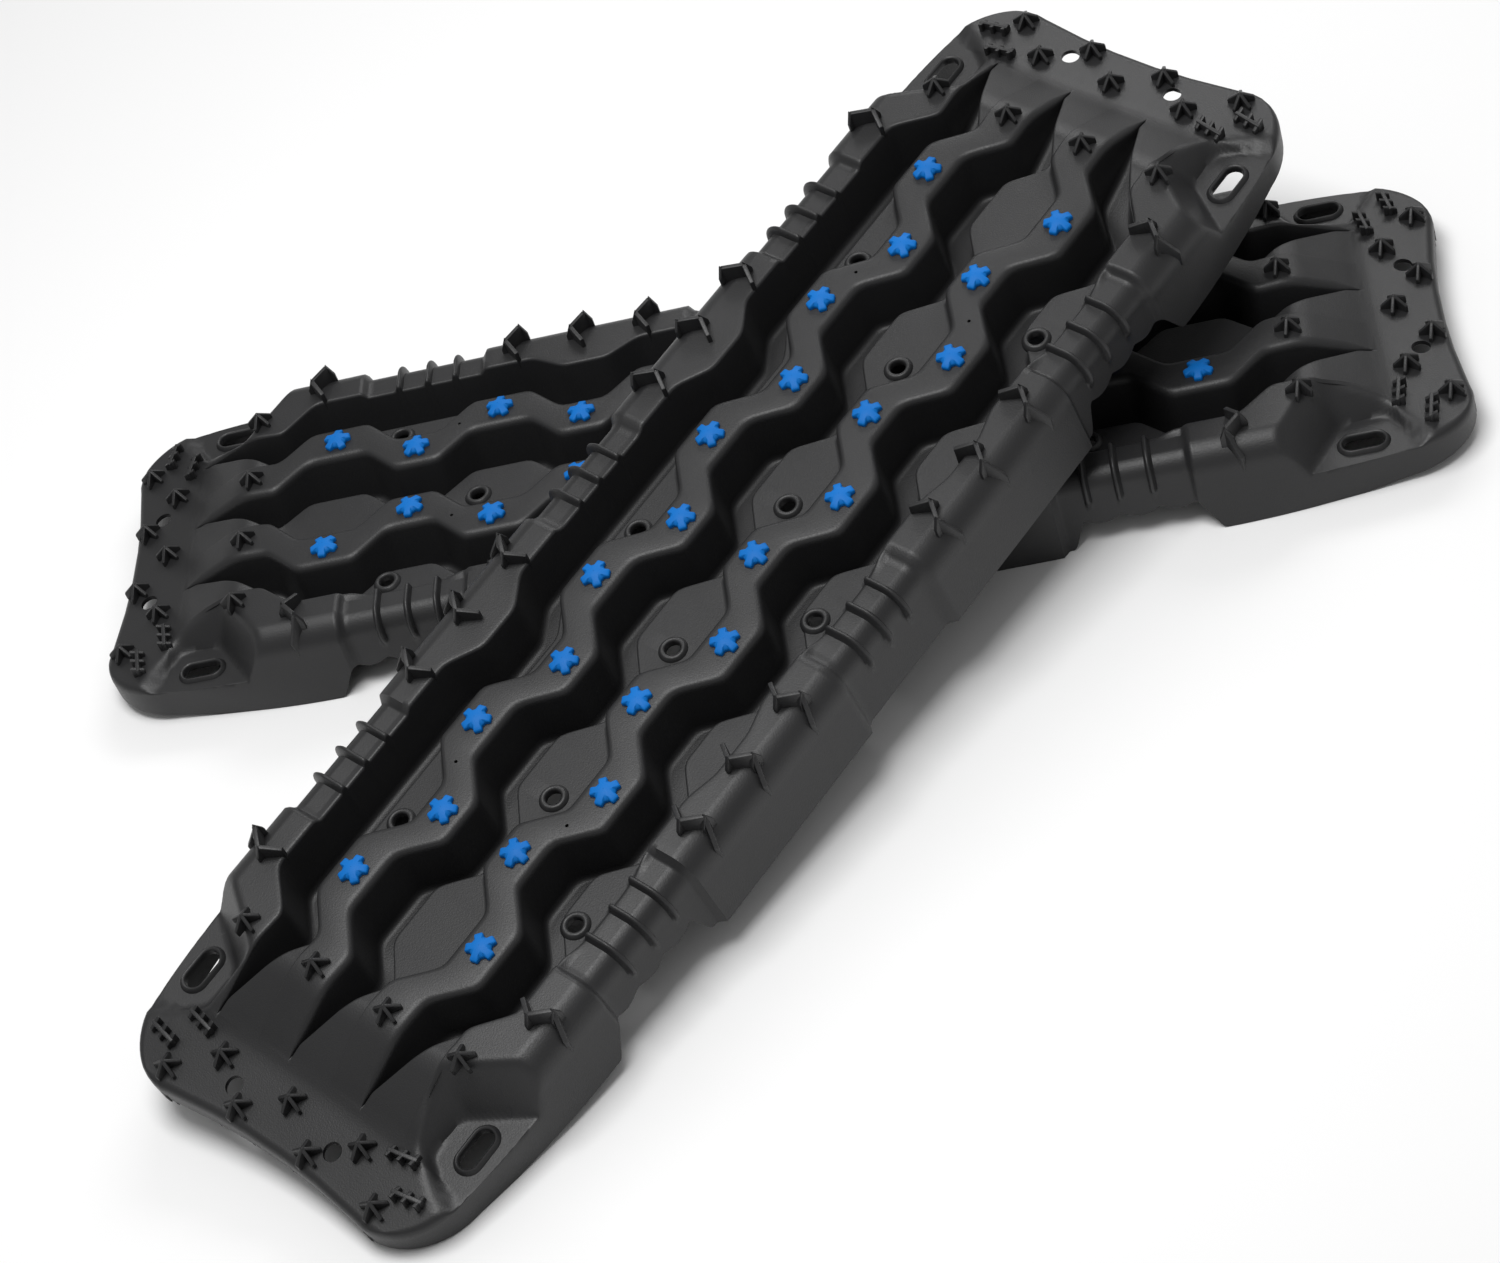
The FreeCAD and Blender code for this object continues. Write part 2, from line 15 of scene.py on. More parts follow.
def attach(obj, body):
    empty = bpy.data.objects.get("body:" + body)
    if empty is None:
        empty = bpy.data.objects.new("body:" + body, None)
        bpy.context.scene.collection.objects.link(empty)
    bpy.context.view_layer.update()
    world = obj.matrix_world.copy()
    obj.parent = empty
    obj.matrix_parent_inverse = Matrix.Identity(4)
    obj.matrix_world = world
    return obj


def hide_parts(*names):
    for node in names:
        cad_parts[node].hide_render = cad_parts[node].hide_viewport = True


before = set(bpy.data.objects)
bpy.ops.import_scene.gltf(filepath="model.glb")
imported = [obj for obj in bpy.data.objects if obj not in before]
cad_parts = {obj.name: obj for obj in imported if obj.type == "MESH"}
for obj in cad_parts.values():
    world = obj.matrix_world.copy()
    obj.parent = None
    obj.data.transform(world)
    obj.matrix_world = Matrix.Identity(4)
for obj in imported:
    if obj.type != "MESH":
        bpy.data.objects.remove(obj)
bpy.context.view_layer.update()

# ------------------------------------------------------------------ dimensions
# They are the CAD model's, apart from the rounded edges, the lower and finer fins of the rail and
# star cleats and the wider middles of the studs.  Places on the mat are in pitches where they are
# under 8.  Sizes, radii and heights are in millimetres.
MM = 0.001
PITCH = 68.0                # from one stud to the next along the mat
SIDES = [(sx, sy) for sx in (-1, 1) for sy in (-1, 1)]
HALF_LENGTH = 530.0
TOP_Z = 66.0
WALL = 3.5
DRAFT = 4.0 / 48.0          # sideways run of a groove wall per unit of depth
PLATFORM_SHARE = 0.73       # height of a platform between groove floor and ridge top
RIDGE_OUTER = (1.14, 0.755)  # at odd and at even places, in pitches
RIDGE_INNER = (0.63, 0.25)
ODD_FLAT = 0.35             # half length of a flat stretch of an edge, in pitches
EVEN_FLAT = 0.27
EDGE_SOFT = 7.0             # the corners of the zigzag edges are rounded over this much
GROOVE_WIDTH = 0.52
GROOVE_LEAST_HALF = 0.7     # least half width of a groove at its top
FLOOR_LEAST_HALF = 0.35     # and at its floor
PLATFORM_LEAST = 0.3
LEFT_RAIL_EDGE = {0: -1.66, 1: -1.66, 2: -1.42, 3: -1.66, 4: -1.66, 5: -1.66, 6: -1.24}
RIGHT_RAIL_EDGE = {0: 1.70, 1: 1.64, 2: 1.74, 3: 1.64, 4: 1.70, 5: 1.64, 6: 1.30}
GROOVE_TIP_X = 6.75
GROOVE_TIP_Y = (-1.33, -0.31, 0.70)
ROUND = 7.0                 # radius of the ridge edges
FLOOR_ROUND = 6.0
SHELF_ROUND = 2.5
PLATFORM_ROUND = 5.0
CORNER_STEPS = (0, 0.22, 0.5, 0.78, 1)
LEAST_RUN = 0.2             # keeps the points of a section apart where a groove has run out
LEAST_HEIGHT = 0.4          # of the skin over its foot, where the end turns down

# the mat's length-wise profile
GROOVE_Z = 18.0
PLATFORM_Z = 53.0
RAMP_TOP_X = 6.15
RAMP_FOOT_X = 6.95
RAMP_FOOT_Z = 38.0
RAMP_SOFT = 9.0
END_Z = 31.0
FLOOR_RISE_X = 5.6          # the groove floors climb from here
FLOOR_END = (6.9, 41.0)
FLOOR_SOFT = 8.0
SHELF_END_X = 6.1           # the platforms have risen into the folds by here
END_LIFT_X = 6.5            # beyond this the foot of the skirt rises off the floor
END_LIFT_SLOPE = 14.0 / 108.0

# its plan outline
TAPER = ((330.0, 163.5), (476.0, 147.0))
CORNER_START_X = 475.0
CORNER_LENGTH = 55.0
CORNER_END_Y = 98.0
CORNER_WIDTH = 49.0
END_HOLLOW = 8.0            # the end edges curve inwards by this much
HOLLOW_FROM_X = 440.0
END_ROUND = 5.0             # the last cross-sections turn down over this length
END_ROWS = ((2.5, 0.8), (4.3, 2.6), (5.0, 5.0), (5.0, 9.0), (5.0, 14.0), (5.0, 60.0))   # reach and drop

# its rails
SHOULDER_CENTRE = (128.38, 44.18)
SHOULDER_R = 22.12
SHOULDER_BLEND = 4.0
SKIRT_SLOPE = 8.0 / 45.0
EDGE_ROUND_AT = ((48.0, 6.0), (64.0, 0.6))   # height of the rail and radius of its outer edge
EDGE_ROUND_SHARE = 0.4      # and at most this share of the skirt's height
RAIL_LEAST_Y = 90.0
RAIL_START = 6.0            # the rail's own points start this far from the groove
RECESS_RANGES = ((-4.75, -3.27), (-0.72, 0.72), (3.27, 4.75))
RECESS_DEPTH = 6.0
RECESS_Y = 112.0
RECESS_SOFT = 3.0
RECESS_SIDE_SOFT = 2.0
RIBS = (-4.32, -3.96, -3.62, -0.33, 0.0, 0.33, 3.62, 3.96, 4.32)
RIB_HALF = 2.5
RIB_FADE_Z = (34.0, 42.0)   # the ribs run out into the skirt between these heights
HOLD = ((3.38, 0.0), (3.52, 24.0), (4.78, 24.0), (4.98, 0.0))
HOLD_SOFT = 2.0
HOLD_BUMPS = 3
HOLD_BUMP = 5.0
POCKET_Z = 30.0
POCKET = ((5.72, 2.62), (6.40, 1.58), (6.86, 1.58), (7.42, 2.50))
POCKET_WALL = 1.6           # steepness of the pocket's walls
POCKET_EDGE_BLEND = 0.1     # rounds the corners of its plan, in pitches
POCKET_BLEND = 5.0          # rounds the edge where it cuts into the mat
POCKET_FROM_Y = 60.0
FOLD_DEPTH = 0.07           # how far the facet beside a groove's end lies below the ridge, as a share

# holes and their rims: a rim is (width, height)
GROMMETS = ([(x, 0.32) for x in (-2.73, -0.74, 1.26, 3.26)]
            + [(x, 1.45) for x in (-3.71, 0.27, 4.27)]
            + [(x, -0.95) for x in (-3.71, 0.27, 4.27)])
GROMMET_HOLE = 12.0
GROMMET_RIM = (4.0, 3.0)
SLOT_PLACE = (6.57, 1.93)
SLOT_SIZE = (31.0, 14.5)
SLOT_RIM = (3.0, 3.0)
END_HOLE_PLACE = (7.36, 0.69)
END_HOLE = 14.0
DRAINS = [(sx * 3.49, sy * 0.765) for sx, sy in SIDES]
DRAIN_HOLE = 2.6
HIGH_CUT = (30.0, 70.0)     # heights that a hole in a ridge or platform is cut between
LOW_CUT = (15.0, 60.0)      # and a hole in an end plate
HOLE_POINTS = 32
RIM_ROOT = -2.5             # a rim is rooted this far down in the wall

# webs and cleats
WEB_X = (-374.0, -170.0, -34.0, 34.0, 170.0, 374.0)
WEB_INSET = 3.0             # how far a web's edge lies inside the outer skin
WEB_HALF = 1.5
CLEAT_BEVEL = 0.6
RAIL_CLEAT_X = (1.2, 2.0, 2.8, 5.22)
RAIL_CLEAT_PATH = ((0.0, 1.66), (0.13, 1.86), (-0.03, 2.06), (0.10, 2.21))
RAIL_CLEAT_TOPS = (74.0, 79.0, 79.5, 57.0)
RAIL_CLEAT_ROOT_Z = 44.0
RAIL_CLEAT_THICK = 3.4
RAIL_CLEAT_FINS = ((1, 5.5), (2, 5.5), (2, -4.8))   # point of the path and reach along the mat
RAIL_FIN_HEIGHTS = (15.0, 4.0)   # of a fin's two ends, over the rail
RAIL_FIN_ROOT_Z = 57.0
FIN_THICK = 3.0
STAR_CLEATS = ([(6.02, y) for y in (-1.5, -0.5, 0.5, 1.5)]
               + [(7.18, y) for y in (-0.97, 0.0, 0.97)]
               + [(7.58, y) for y in (-1.46, 1.46)] + [(7.52, y) for y in (-0.49, 0.49)])
STAR_CLEAT_R = 10.5
STAR_FIN_HEIGHTS = (12.0, 3.5)
STAR_FIN_THICK = 2.6
STAR_ROOT = 3.0
COMB_CLEATS = ((7.03, 1.42, 100.0), (7.33, 1.72, 100.0))   # x, y and heading in degrees
COMB_HALF = 12.0
COMB_HEIGHT = 7.0
COMB_FIN_PLACES = (-9.6, 0.0, 9.6)   # along the spine, in millimetres
COMB_FIN_REACH = 5.0
COMB_FIN_HEIGHTS = (9.0, 4.0)
COMB_ROOT = 5.0

# studs
ARMS = 5                    # of a stud and of a star cleat
STUD_TURN = (12.0, 48.0)    # degrees, on the +Y and on the -Y ridge
STUD_R = 11.0
STUD_CORE_R = 7.8
STUD_ARM_HALF = 3.2
STUD_POINTS = 120           # around a stud's head
STUD_EDGE = 0.9             # width of its rounded edge
STUD_SIDE = ((0.3, -0.6), (0.0, 0.4), (0.0, 2.0), (0.25, 2.9), (STUD_EDGE, 3.5))   # inset and height
STUD_CROWN_SHARES = (0.8, 0.6, 0.45, 0.3, 0.15, 0.02)
STUD_CROWN = (3.6, 2.4)     # height of the crown's foot, and of its middle over that
SHANK_R = 3.9
SHANK_TOP = 1.0
FLANGE_R = 6.0
FLANGE_EDGE_R = 5.4
FLANGE_GAP = 0.05
FLANGE_SIDE = 1.6
FLANGE_DEPTH = 2.05

# where the cross-sections stand
STATION_RUNS = ((0.0, 384.0, 4.0), (384.0, 478.0, 2.5))   # from, to and spacing
STATION_RIB = (-3.6, -2.6, -2.3, -1.6, -0.8, 0, 0.8, 1.6, 2.3, 2.6, 3.6)   # about a rib's crest
STATION_HOLD = (-5.0, 12.0, 1.5)   # about each corner of a hand hold, and their spacing
STATION_CORNER = 14         # in the round corner
STATION_LEAST = 0.55

# where the two mats lie, in metres, from the CAD assembly
LOWER_PLACE = Matrix.Translation((0, -0.20464, 0))
UPPER_TILT = math.radians(-9.8404)
UPPER_YAW = math.radians(49.4)
UPPER_PLACE = (Matrix.Translation((0.0045, -0.00364, 0.07413))
               @ Matrix.Rotation(UPPER_TILT, 4, "X") @ Matrix.Rotation(UPPER_YAW, 4, "Z"))

# materials, camera and light
CLOUD_SCALE = 9.0           # of the uneven colour
GLOSS_SPREAD = 0.13
BUMP_DISTANCE = 0.0003
CAMERA_LENS = 78.52
CAMERA_PLACE = (-0.4039, 1.6769, 1.6740)
CAMERA_RIGHT = (-0.96482, 0.0037, -0.26288)
CAMERA_UP = (-0.18558, -0.71786, 0.671)
CAMERA_SHIFT = 0.026        # to the right and up, so that both mats are in the frame
WORLD_STRENGTH = 0.36
FLOOR_SIZE = 30
FLOOR_DROP = 0.0005


# ------------------------------------------------------------------ outlines along the mat
def zigzag(level):
    """Corner points of a zigzag edge; level(k) is its distance from the middle line at place k."""
    points = []
    for k in range(-6, 7):
        half = ODD_FLAT if k % 2 else EVEN_FLAT
        points += [(x, level(k)) for x in (k - half, k + half) if abs(x) < 6]
    return points


def along(x, points, soft):
    """Value at each x of a line through points given in pitches, its corners rounded over +-soft mm."""
    xs, ys = np.array(points).T * PITCH
    shifts = np.linspace(-1, 1, 9)
    weights = 1 - abs(shifts) * 0.9
    return sum(w * np.interp(x + s * soft, xs, ys) for s, w in zip(shifts, weights)) / weights.sum()


def ridge_edge(levels, side):
    return lambda k: side * levels[0 if k % 2 else 1]


def rail_edge(levels):
    return lambda k: levels[abs(k)]


GAPS = (
    (rail_edge(LEFT_RAIL_EDGE), ridge_edge(RIDGE_OUTER, -1)),
    (ridge_edge(RIDGE_INNER, -1), ridge_edge(RIDGE_INNER, 1)),
    (ridge_edge(RIDGE_OUTER, 1), rail_edge(RIGHT_RAIL_EDGE)),
)


def gap_edges(x, left, right, tip_y):
    """Y of a groove's two edges and of the platform's far edge, at each x."""
    tips = [(-GROOVE_TIP_X, tip_y)], [(GROOVE_TIP_X, tip_y)]
    near = along(x, tips[0] + zigzag(left) + tips[1], EDGE_SOFT)
    far = along(x, tips[0] + zigzag(lambda k: min(left(k) + GROOVE_WIDTH, right(k))) + tips[1], EDGE_SOFT)
    platform = along(x, zigzag(right), EDGE_SOFT)
    middle = (near + far) / 2
    near = np.minimum(near, middle - GROOVE_LEAST_HALF)
    far = np.maximum(far, middle + GROOVE_LEAST_HALF)
    return near, far, np.maximum(platform, far + PLATFORM_LEAST)


def top_height(x):
    """Ridges and rails: level, a ramp, then the end plate."""
    points = [(0, TOP_Z), (RAMP_TOP_X * PITCH, TOP_Z), (RAMP_FOOT_X * PITCH, RAMP_FOOT_Z),
              (HALF_LENGTH, END_Z)]
    xs, zs = np.array(points).T
    return sum(np.interp(abs(x) + s, xs, zs) for s in np.linspace(-RAMP_SOFT, RAMP_SOFT, 9)) / 9


def floor_height(x):
    """Groove floors: level, then climbing to the end plate."""
    points = [(0, GROOVE_Z), (FLOOR_RISE_X * PITCH, GROOVE_Z), (FLOOR_END[0] * PITCH, FLOOR_END[1])]
    xs, zs = np.array(points).T
    low = sum(np.interp(abs(x) + s, xs, zs) for s in np.linspace(-FLOOR_SOFT, FLOOR_SOFT, 5)) / 5
    return np.minimum(low, top_height(x))


def foot_height(x):
    """Foot of the skirt: the hand holds with their finger bumps, and the lift under the end plates."""
    far = abs(x) / PITCH
    xs, zs = np.array(HOLD).T
    hold = sum(np.interp(far + s / PITCH, xs, zs) for s in np.linspace(-HOLD_SOFT, HOLD_SOFT, 5)) / 5
    share = np.clip((far - HOLD[1][0]) / (HOLD[2][0] - HOLD[1][0]), 0, 1)
    bumps = HOLD_BUMP * abs(np.sin(HOLD_BUMPS * math.pi * share))
    lift = np.maximum(0, (abs(x) - END_LIFT_X * PITCH) * END_LIFT_SLOPE)
    return np.maximum(hold - bumps, 0) + lift


def half_width(x):
    """Greatest |y| at each x: straight, tapered, then a quarter round corner."""
    x = abs(x)
    taper_x, taper_y = zip(*TAPER)
    taper = np.interp(x, taper_x, taper_y)
    run = np.clip(x - CORNER_START_X, 0, CORNER_LENGTH) / CORNER_LENGTH
    corner = CORNER_END_Y + CORNER_WIDTH * np.sqrt(np.clip(1 - run ** 2, 0, None))
    return np.where(x < taper_x[1], taper, corner)


def soft_step(value, low, high):
    """0 below low, 1 above high, smooth between them."""
    t = np.clip((value - low) / (high - low), 0, 1)
    return t * t * (3 - 2 * t)


def recess(x):
    """How far the ribbed stretches lie below the rail, before the ribs are added."""
    total = 0
    for start, stop in RECESS_RANGES:
        begun = soft_step(x, start * PITCH - RECESS_SOFT, start * PITCH + RECESS_SOFT)
        ended = soft_step(x, stop * PITCH - RECESS_SOFT, stop * PITCH + RECESS_SOFT)
        total = total + begun * (1 - ended)
    return RECESS_DEPTH * total


def rib(x):
    """1 on the crest of a rib, 0 beside it, with a half-round section."""
    return sum(np.sqrt(np.clip(1 - ((x - r * PITCH) / RIB_HALF) ** 2, 0, 1)) for r in RIBS)


def soft_min(a, b, k):
    """The lower of two values, blended where they are within k of each other."""
    h = np.clip(0.5 + 0.5 * (b - a) / k, 0, 1)
    return b * (1 - h) + a * h - k * h * (1 - h)


# ------------------------------------------------------------------ the cross-sections
def stations():
    """X of every cross-section: close together at ribs, hand holds and the round corners."""
    xs = []
    for start, stop, step in STATION_RUNS:
        xs += list(np.arange(start, stop, step))
    for r in RIBS:
        xs += [r * PITCH + s for s in STATION_RIB]
    before, after, step = STATION_HOLD
    for start, _ in HOLD:
        xs += list(np.arange(start * PITCH + before, start * PITCH + after, step))
    quarter = np.linspace(0, math.pi / 2, STATION_CORNER)
    xs += list(CORNER_START_X + (CORNER_LENGTH - END_ROUND) * np.sin(quarter))
    xs = sorted(abs(x) for x in xs)
    kept = [xs[0]]
    for x in xs:
        if x - kept[-1] > STATION_LEAST:
            kept.append(x)
    return np.array([-x for x in kept[:0:-1]] + kept)


def rounded(points, radii):
    """Round the corners of a line of (S, 2) arrays that have a radius, five points to a corner."""
    result = []
    for i, radius in radii.items():
        before, here, after = points[i - 1], points[i], points[i + 1]
        u, v = before - here, after - here
        lu, lv = np.linalg.norm(u, axis=1), np.linalg.norm(v, axis=1)
        u, v = u / lu[:, None], v / lv[:, None]
        half = np.arccos(np.clip((u * v).sum(axis=1), -1, 1)) / 2
        reach = np.minimum(radius / np.tan(np.maximum(half, 0.05)), 0.45 * np.minimum(lu, lv))[:, None]
        start, stop = here + u * reach, here + v * reach
        for t in CORNER_STEPS:
            result.append(start * (1 - t) ** 2 + here * 2 * t * (1 - t) + stop * t * t)
    return result


def grooves(x, top, floor):
    """The corners of the three grooves and platforms from left to right."""
    corners = []
    for (left, right), tip_y in zip(GAPS, GROOVE_TIP_Y):
        near, far, platform = gap_edges(x, left, right, tip_y)
        middle = (near + far) / 2
        run = DRAFT * (top - floor)
        risen = soft_step(abs(x), FLOOR_RISE_X * PITCH, SHELF_END_X * PITCH)
        share = PLATFORM_SHARE + (1 - FOLD_DEPTH - PLATFORM_SHARE) * risen
        shelf = floor + share * (top - floor)
        shelf_run = DRAFT * (top - shelf)
        corners += [
            (near, top, ROUND),
            (np.clip(near + run, near + LEAST_RUN, middle - FLOOR_LEAST_HALF), floor, FLOOR_ROUND),
            (np.clip(far - run, middle + FLOOR_LEAST_HALF, far - LEAST_RUN), floor, FLOOR_ROUND),
            (far - shelf_run, shelf, SHELF_ROUND),
            (platform - np.maximum(shelf_run, LEAST_RUN), shelf, PLATFORM_ROUND),
            (platform, top, ROUND),
        ]
    return corners


def rail_height(x, y, top):
    beside = soft_step(abs(y), RECESS_Y - RECESS_SIDE_SOFT, RECESS_Y + RECESS_SIDE_SOFT)
    return top - recess(x) * (1 - rib(x)) * beside


def rail(x, edge, top, foot, side):
    """Points from the groove's edge over the rail and its shoulder to the foot of the skirt."""
    crest = top - recess(x) * (1 - rib(x))
    width = half_width(x)
    round_z, round_r = zip(*EDGE_ROUND_AT)
    corner_round = np.minimum(np.interp(crest, round_z, round_r), EDGE_ROUND_SHARE * (crest - foot))
    corner_round = np.minimum(corner_round, 0.3 * (width - RAIL_LEAST_Y))

    def shoulder(z):
        depth = recess(x) * (1 - rib(x) * soft_step(z, *RIB_FADE_Z))
        arc = SHOULDER_CENTRE[0] + np.sqrt(
            np.clip((SHOULDER_R - depth) ** 2 - (z - SHOULDER_CENTRE[1]) ** 2, 0, None))
        line = SHOULDER_CENTRE[0] + SHOULDER_R - depth + (SHOULDER_CENTRE[1] - z) * SKIRT_SLOPE
        return soft_min(np.where(z > SHOULDER_CENTRE[1], arc, line), width, SHOULDER_BLEND)

    def over_shoulder(y):
        radius = SHOULDER_R - recess(x) * (1 - rib(x))
        beyond = np.maximum(y - SHOULDER_CENTRE[0], 0)
        return SHOULDER_CENTRE[1] + np.sqrt(np.clip(radius ** 2 - beyond ** 2, 0, None))

    low = crest - corner_round
    outer = shoulder(low)
    inner = np.minimum(side * edge + RAIL_START, outer - corner_round - 0.5)
    points = []
    for t in np.linspace(0, 1, 20):
        y = inner + (outer - corner_round - inner) * t
        points.append((y, np.minimum(rail_height(x, y, top), over_shoulder(y))))
    for angle in np.radians([25, 50, 70]):
        y = outer - corner_round * (1 - math.sin(angle))
        points.append((y, np.minimum(low + corner_round * math.cos(angle), over_shoulder(y))))
    for t in np.linspace(0, 1, 15) ** 1.6:
        z = low + (foot - low) * t
        points.append((shoulder(z), z))
    return [np.stack([side * y, z], axis=1) for y, z in points]


def section_rows(x, top_drop):
    """Every cross-section as (y, z) points from the left foot to the right foot."""
    foot = foot_height(x)
    top = np.maximum(top_height(x) - top_drop, foot + LEAST_HEIGHT)
    floor = np.minimum(floor_height(x), top)
    corners = grooves(x, top, floor)
    left = rail(x, corners[0][0], top, foot, -1)[::-1]
    right = rail(x, corners[-1][0], top, foot, 1)
    line = [left[-1]]
    radii = {}
    for y, z, radius in corners:
        z = np.where(z == top, rail_height(x, y, top), z)
        line.append(np.stack([y, z], axis=1))
        radii[len(line) - 1] = radius
    line.append(right[0])
    return np.stack(left + rounded(line, radii) + right, axis=1)


def pocket_height(x, y):
    """Floor and walls of the open corner pockets around the tie-down slots."""
    x, y = abs(x) / PITCH, abs(y) / PITCH
    outside = -1e3
    for (x0, y0), (x1, y1) in zip(POCKET, POCKET[1:]):
        length = math.hypot(x1 - x0, y1 - y0)
        distance = ((x - x0) * -(y1 - y0) + (y - y0) * (x1 - x0)) / length
        outside = -soft_min(-outside, distance, POCKET_EDGE_BLEND)
    return POCKET_Z + np.maximum(outside, 0) * PITCH * POCKET_WALL


def skin_grid():
    """All points of the outer skin as an array: rows along the mat, points across it."""
    x = stations()
    rows = section_rows(x, 0.0)
    grid = np.concatenate([np.repeat(x[:, None, None], rows.shape[1], axis=1), rows], axis=2)
    reaches, drops = np.array(END_ROWS).T
    tips = HALF_LENGTH - END_ROUND + reaches
    rows = section_rows(tips, drops)
    tail = np.concatenate([np.repeat(tips[:, None, None], rows.shape[1], axis=1), rows], axis=2)
    head = tail[::-1] * (-1, 1, 1)
    grid = np.concatenate([head, grid, tail])
    cut = soft_min(grid[..., 2], pocket_height(grid[..., 0], grid[..., 1]), POCKET_BLEND)
    grid[..., 2] = np.where(abs(grid[..., 1]) > POCKET_FROM_Y, cut, grid[..., 2])
    hollow = END_HOLLOW * np.clip(1 - (grid[..., 1] / CORNER_END_Y) ** 2, 0, 1)
    near_end = soft_step(abs(grid[..., 0]), HOLLOW_FROM_X, HALF_LENGTH)
    grid[..., 0] -= np.sign(grid[..., 0]) * hollow * near_end
    return grid


# ------------------------------------------------------------------ mesh helpers
def mesh_object(name, vertices, faces):
    """A new object from points in millimetres."""
    mesh = bpy.data.meshes.new(name)
    mesh.from_pydata([tuple(v) for v in np.asarray(vertices) * MM], [], faces)
    mesh.validate()
    obj = bpy.data.objects.new(name, mesh)
    bpy.context.scene.collection.objects.link(obj)
    return obj


def grid_faces(rows, columns, wrap=False):
    """Quads between neighbouring rows of points; wrap closes each row into a ring."""
    faces = []
    for i in range(rows - 1):
        for j in range(columns if wrap else columns - 1):
            k = (j + 1) % columns
            faces.append((i * columns + j, (i + 1) * columns + j, (i + 1) * columns + k, i * columns + k))
    return faces


def apply_modifiers(obj):
    deps = bpy.context.evaluated_depsgraph_get()
    mesh = bpy.data.meshes.new_from_object(obj.evaluated_get(deps))
    obj.modifiers.clear()
    obj.data = mesh


def clamp_to(obj, grid):
    """Keep an offset skin inside the box of the outer skin."""
    points = np.array([v.co for v in obj.data.vertices])
    flat = grid.reshape(-1, 3) * MM
    points = np.clip(points, flat.min(axis=0), flat.max(axis=0))
    obj.data.vertices.foreach_set("co", points.ravel())


def join(target, others):
    """Add the meshes of other objects to target's, all in the same frame."""
    work = bmesh.new()
    work.from_mesh(target.data)
    for other in others:
        work.from_mesh(other.data)
        bpy.data.objects.remove(other)
    work.to_mesh(target.data)
    work.free()
    return target


class Solids:
    """Collects small closed prisms and bevels all their edges at once."""

    def __init__(self):
        self.vertices = []
        self.faces = []

    def prism(self, corners, shift):
        """A polygon of 3-D corners, extruded by a shift."""
        first = len(self.vertices)
        count = len(corners)
        shift = np.array(shift, float)
        self.vertices += [np.array(c, float) - shift / 2 for c in corners]
        self.vertices += [np.array(c, float) + shift / 2 for c in corners]
        self.faces.append(tuple(range(first + count - 1, first - 1, -1)))
        self.faces.append(tuple(range(first + count, first + 2 * count)))
        for i in range(count):
            j = (i + 1) % count
            self.faces.append((first + i, first + j, first + count + j, first + count + i))

    def plate(self, start, stop, foot, top0, top1, thick):
        """An upright plate between two plan points, with its own top height at each."""
        along_x, along_y = stop[0] - start[0], stop[1] - start[1]
        length = math.hypot(along_x, along_y)
        shift = (-along_y / length * thick, along_x / length * thick, 0)
        self.prism([(*start, foot), (*stop, foot), (*stop, top1), (*start, top0)], shift)

    def build(self, name, bevel):
        obj = mesh_object(name, self.vertices, self.faces)
        work = bmesh.new()
        work.from_mesh(obj.data)
        bmesh.ops.recalc_face_normals(work, faces=work.faces)
        bmesh.ops.bevel(work, geom=work.edges[:], offset=bevel * MM, segments=3, profile=0.5,
                        affect="EDGES", clamp_overlap=True)
        work.to_mesh(obj.data)
        work.free()
        return obj


# ------------------------------------------------------------------ cleats, rims, webs and holes
def surface_z(x):
    return float(top_height(np.array([x]))[0])


def rail_cleat(solids, x, sx, sy):
    """A zigzag wall across the rail, with a fin at each bend."""
    points = [(sx * (x + dx) * PITCH, sy * y * PITCH) for dx, y in RAIL_CLEAT_PATH]
    for i in range(3):
        solids.plate(points[i], points[i + 1], RAIL_CLEAT_ROOT_Z, RAIL_CLEAT_TOPS[i],
                     RAIL_CLEAT_TOPS[i + 1], RAIL_CLEAT_THICK)
    high, low = [TOP_Z + height for height in RAIL_FIN_HEIGHTS]
    for bend, reach in RAIL_CLEAT_FINS:
        tip = (points[bend][0] + sx * reach, points[bend][1])
        solids.plate(points[bend], tip, RAIL_FIN_ROOT_Z, high, low, FIN_THICK)


def star_cleat(solids, x, y):
    """Upright fins about a centre, falling away to their tips."""
    z = surface_z(x)
    high, low = STAR_FIN_HEIGHTS
    for arm in range(ARMS):
        angle = 2 * math.pi * arm / ARMS
        tip = (x + STAR_CLEAT_R * math.cos(angle), y + STAR_CLEAT_R * math.sin(angle))
        solids.plate((x, y), tip, z - STAR_ROOT, z + high, z + low, STAR_FIN_THICK)


def comb_cleat(solids, x, y, heading):
    """A low spine with three fins across it."""
    z = surface_z(x)
    c, s = math.cos(math.radians(heading)), math.sin(math.radians(heading))
    root, top = z - COMB_ROOT, z + COMB_HEIGHT
    start, stop = (x - c * COMB_HALF, y - s * COMB_HALF), (x + c * COMB_HALF, y + s * COMB_HALF)
    solids.plate(start, stop, root, top, top, FIN_THICK)
    high, low = COMB_FIN_HEIGHTS
    for along_spine in COMB_FIN_PLACES:
        px, py = x + c * along_spine, y + s * along_spine
        start = (px + s * COMB_FIN_REACH, py - c * COMB_FIN_REACH)
        stop = (px - s * COMB_FIN_REACH, py + c * COMB_FIN_REACH)
        solids.plate(start, stop, root, z + high, z + low, FIN_THICK)


